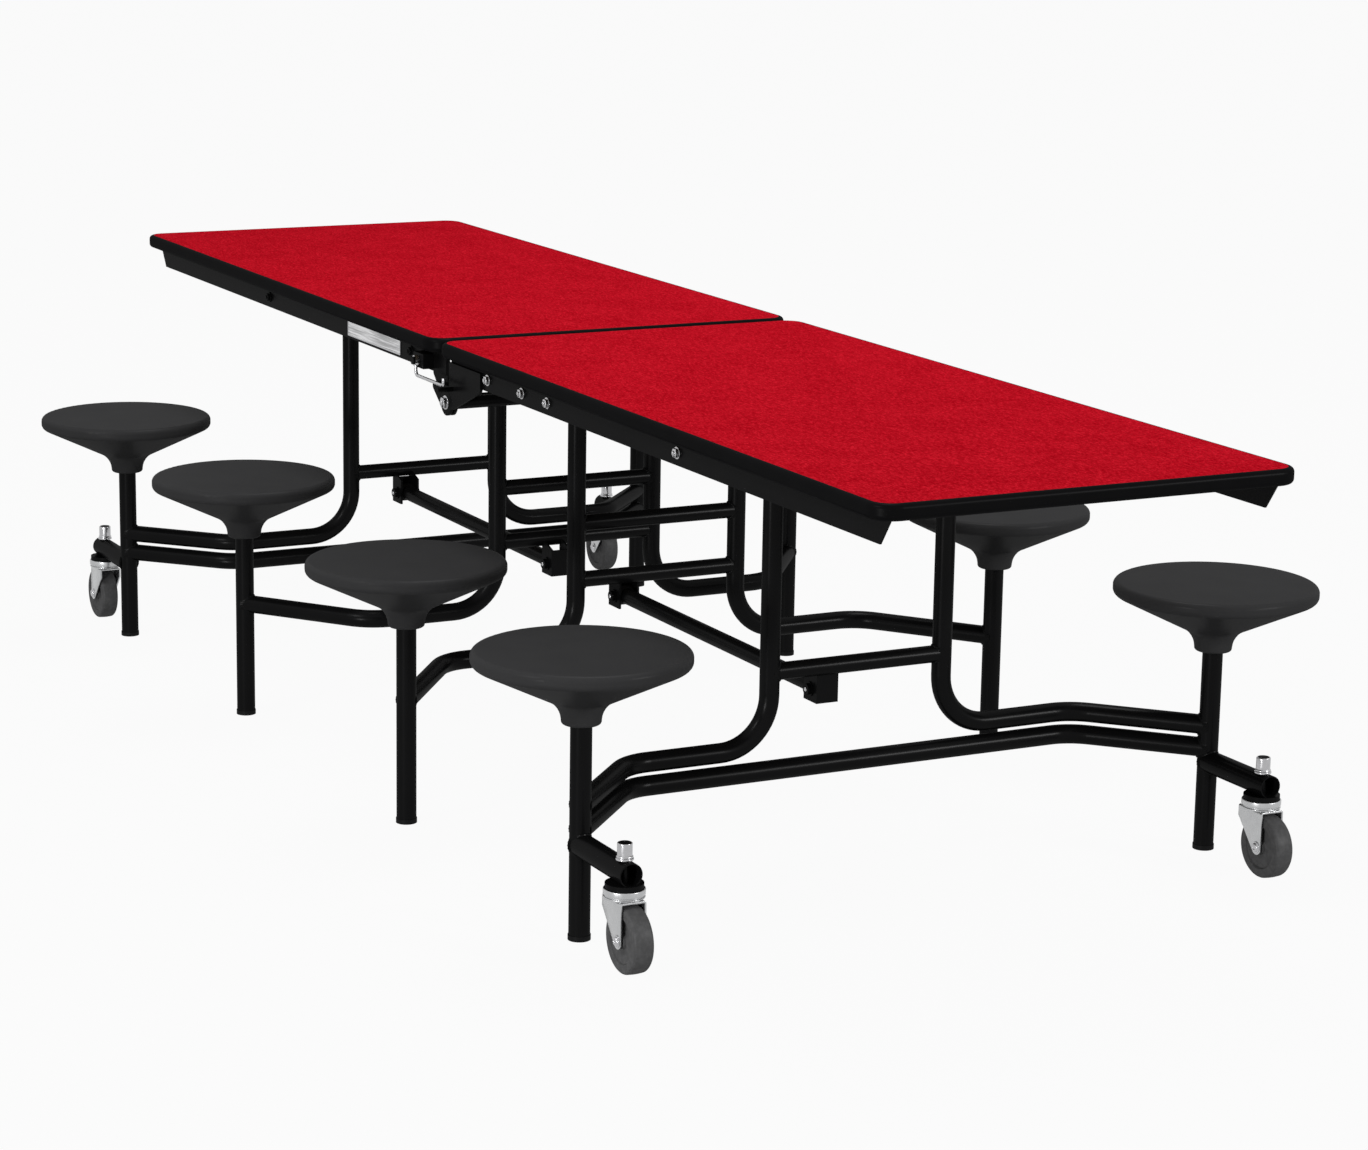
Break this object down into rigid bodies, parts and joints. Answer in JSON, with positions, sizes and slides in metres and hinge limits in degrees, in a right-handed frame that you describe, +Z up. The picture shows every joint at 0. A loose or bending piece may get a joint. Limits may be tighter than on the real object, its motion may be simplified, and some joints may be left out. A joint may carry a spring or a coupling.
{
  "type": "mobile cafeteria table with stools",
  "caption": "Long folding cafeteria table on a bent tube frame with fixed round stools along both sides, a centre hinge and swivel casters at the ends.",
  "frame": {"origin": "on the floor under the centre of the table", "axes": "+X along the table towards the end without the latch, +Y across it, away from the latch side, +Z up"},
  "size_m": [3.073, 1.46, 0.737],
  "materials": {
    "laminate": "satin, fine pebble grain",
    "core": "raw board",
    "edge": "satin",
    "frame": "satin black powder coat",
    "seat": "matte moulded",
    "zinc": "bright zinc plate",
    "fork": "bright plated",
    "wheel": "matte grey",
    "glide": "matte",
    "plate": "satin, bare"
  },
  "bodies": {
    "right_end_frame": {"right_end_caster_arms": "frame", "right_end_cross_bar": "frame", "right_end_floor_tube": "frame", "right_end_glides": "glide", "right_end_legs": "frame", "right_end_link_bracket": "frame", "right_end_stool_posts": "frame", "right_end_stool_seats": "seat"},
    "right_half": {"right_edge_moulding": "edge", "right_hinge_plates": "frame", "right_laminate_surface": "laminate", "right_rail_bolts": "zinc", "right_side_rails": "frame", "right_table_core": "core", "right_top_braces": "frame", "hinge_bolts": "zinc", "hinge_shaft": "frame"},
    "right_inner_frame": {"right_inner_cross_bar": "frame", "right_inner_glides": "glide", "right_inner_legs": "frame", "right_inner_link_bracket": "frame", "right_inner_stool_posts": "frame", "right_inner_stool_seats": "seat", "right_inner_tie_bar": "frame"},
    "right_link": {"right_lower_link": "frame"},
    "left_half": {"left_edge_moulding": "edge", "left_hinge_plates": "frame", "left_laminate_surface": "laminate", "left_rail_bolts": "zinc", "left_side_rails": "frame", "left_table_core": "core", "left_top_braces": "frame", "label_plate": "plate", "latch_block": "frame"},
    "left_inner_frame": {"left_inner_cross_bar": "frame", "left_inner_glides": "glide", "left_inner_legs": "frame", "left_inner_link_bracket": "frame", "left_inner_stool_posts": "frame", "left_inner_stool_seats": "seat", "left_inner_tie_bar": "frame"},
    "left_end_frame": {"left_end_caster_arms": "frame", "left_end_cross_bar": "frame", "left_end_floor_tube": "frame", "left_end_glides": "glide", "left_end_legs": "frame", "left_end_link_bracket": "frame", "left_end_stool_posts": "frame", "left_end_stool_seats": "seat"},
    "left_link": {"left_lower_link": "frame"},
    "latch": {"latch_hook": "zinc"},
    "near_right_caster": {"near_right_caster_fork": "fork"},
    "near_right_wheel": {"near_right_caster_wheel": "wheel"},
    "far_right_caster": {"far_right_caster_fork": "fork"},
    "far_right_wheel": {"far_right_caster_wheel": "wheel"},
    "near_left_caster": {"near_left_caster_fork": "fork"},
    "near_left_wheel": {"near_left_caster_wheel": "wheel"},
    "far_left_caster": {"far_left_caster_fork": "fork"},
    "far_left_wheel": {"far_left_caster_wheel": "wheel"}
  },
  "joints": [
    {"name": "fold", "type": "hinge", "parent": "right_end_frame", "child": "right_half", "pos_m": [0.875, 0, 0.6918], "axis": [0, 1, 0], "range_deg": [0, 80]},
    {"name": "right_inner_hang", "type": "hinge", "parent": "right_half", "child": "right_inner_frame", "pos_m": [0.167, 0, 0.6918], "axis": [0, 1, 0], "range_deg": [-80, 0]},
    {"name": "right_link_turn", "type": "hinge", "parent": "right_end_frame", "child": "right_link", "pos_m": [0.849, -0.05, 0.288], "axis": [0, 1, 0], "range_deg": [0, 80]},
    {"name": "centre_hinge", "type": "hinge", "parent": "right_half", "child": "left_half", "pos_m": [0, 0, 0.6268], "axis": [0, 1, 0], "range_deg": [-160, 0]},
    {"name": "left_inner_hang", "type": "hinge", "parent": "left_half", "child": "left_inner_frame", "pos_m": [-0.167, 0, 0.6918], "axis": [0, 1, 0], "range_deg": [0, 80]},
    {"name": "left_end_turn", "type": "hinge", "parent": "left_half", "child": "left_end_frame", "pos_m": [-0.875, 0, 0.6918], "axis": [0, 1, 0], "range_deg": [0, 80]},
    {"name": "left_link_turn", "type": "hinge", "parent": "left_end_frame", "child": "left_link", "pos_m": [-0.849, -0.05, 0.288], "axis": [0, 1, 0], "range_deg": [-80, 0]},
    {"name": "near_right_swivel", "type": "hinge", "parent": "right_end_frame", "child": "near_right_caster", "pos_m": [1.195, -0.565, 0.148], "axis": [0, 0, 1], "continuous": true},
    {"name": "near_right_roll", "type": "hinge", "parent": "near_right_caster", "child": "near_right_wheel", "pos_m": [1.215, -0.565, 0.051], "axis": [0, 1, 0], "continuous": true},
    {"name": "far_right_swivel", "type": "hinge", "parent": "right_end_frame", "child": "far_right_caster", "pos_m": [1.195, 0.565, 0.148], "axis": [0, 0, 1], "continuous": true},
    {"name": "far_right_roll", "type": "hinge", "parent": "far_right_caster", "child": "far_right_wheel", "pos_m": [1.215, 0.565, 0.051], "axis": [0, 1, 0], "continuous": true},
    {"name": "near_left_swivel", "type": "hinge", "parent": "left_end_frame", "child": "near_left_caster", "pos_m": [-1.195, -0.565, 0.148], "axis": [0, 0, 1], "continuous": true},
    {"name": "near_left_roll", "type": "hinge", "parent": "near_left_caster", "child": "near_left_wheel", "pos_m": [-1.215, -0.565, 0.051], "axis": [0, 1, 0], "continuous": true},
    {"name": "far_left_swivel", "type": "hinge", "parent": "left_end_frame", "child": "far_left_caster", "pos_m": [-1.195, 0.565, 0.148], "axis": [0, 0, 1], "continuous": true},
    {"name": "far_left_roll", "type": "hinge", "parent": "far_left_caster", "child": "far_left_wheel", "pos_m": [-1.215, 0.565, 0.051], "axis": [0, 1, 0], "continuous": true},
    {"name": "latch_lift", "type": "hinge", "parent": "left_half", "child": "latch", "pos_m": [-0.088, -0.35, 0.6888], "axis": [0, -1, 0], "range_deg": [0, 14]}
  ],
  "couplings": [
    {"joint": "right_inner_hang", "follows": "fold", "ratio": -1},
    {"joint": "right_link_turn", "follows": "fold", "ratio": 1},
    {"joint": "centre_hinge", "follows": "fold", "ratio": -2},
    {"joint": "left_inner_hang", "follows": "fold", "ratio": 1},
    {"joint": "left_end_turn", "follows": "fold", "ratio": 1},
    {"joint": "left_link_turn", "follows": "fold", "ratio": -1}
  ]
}
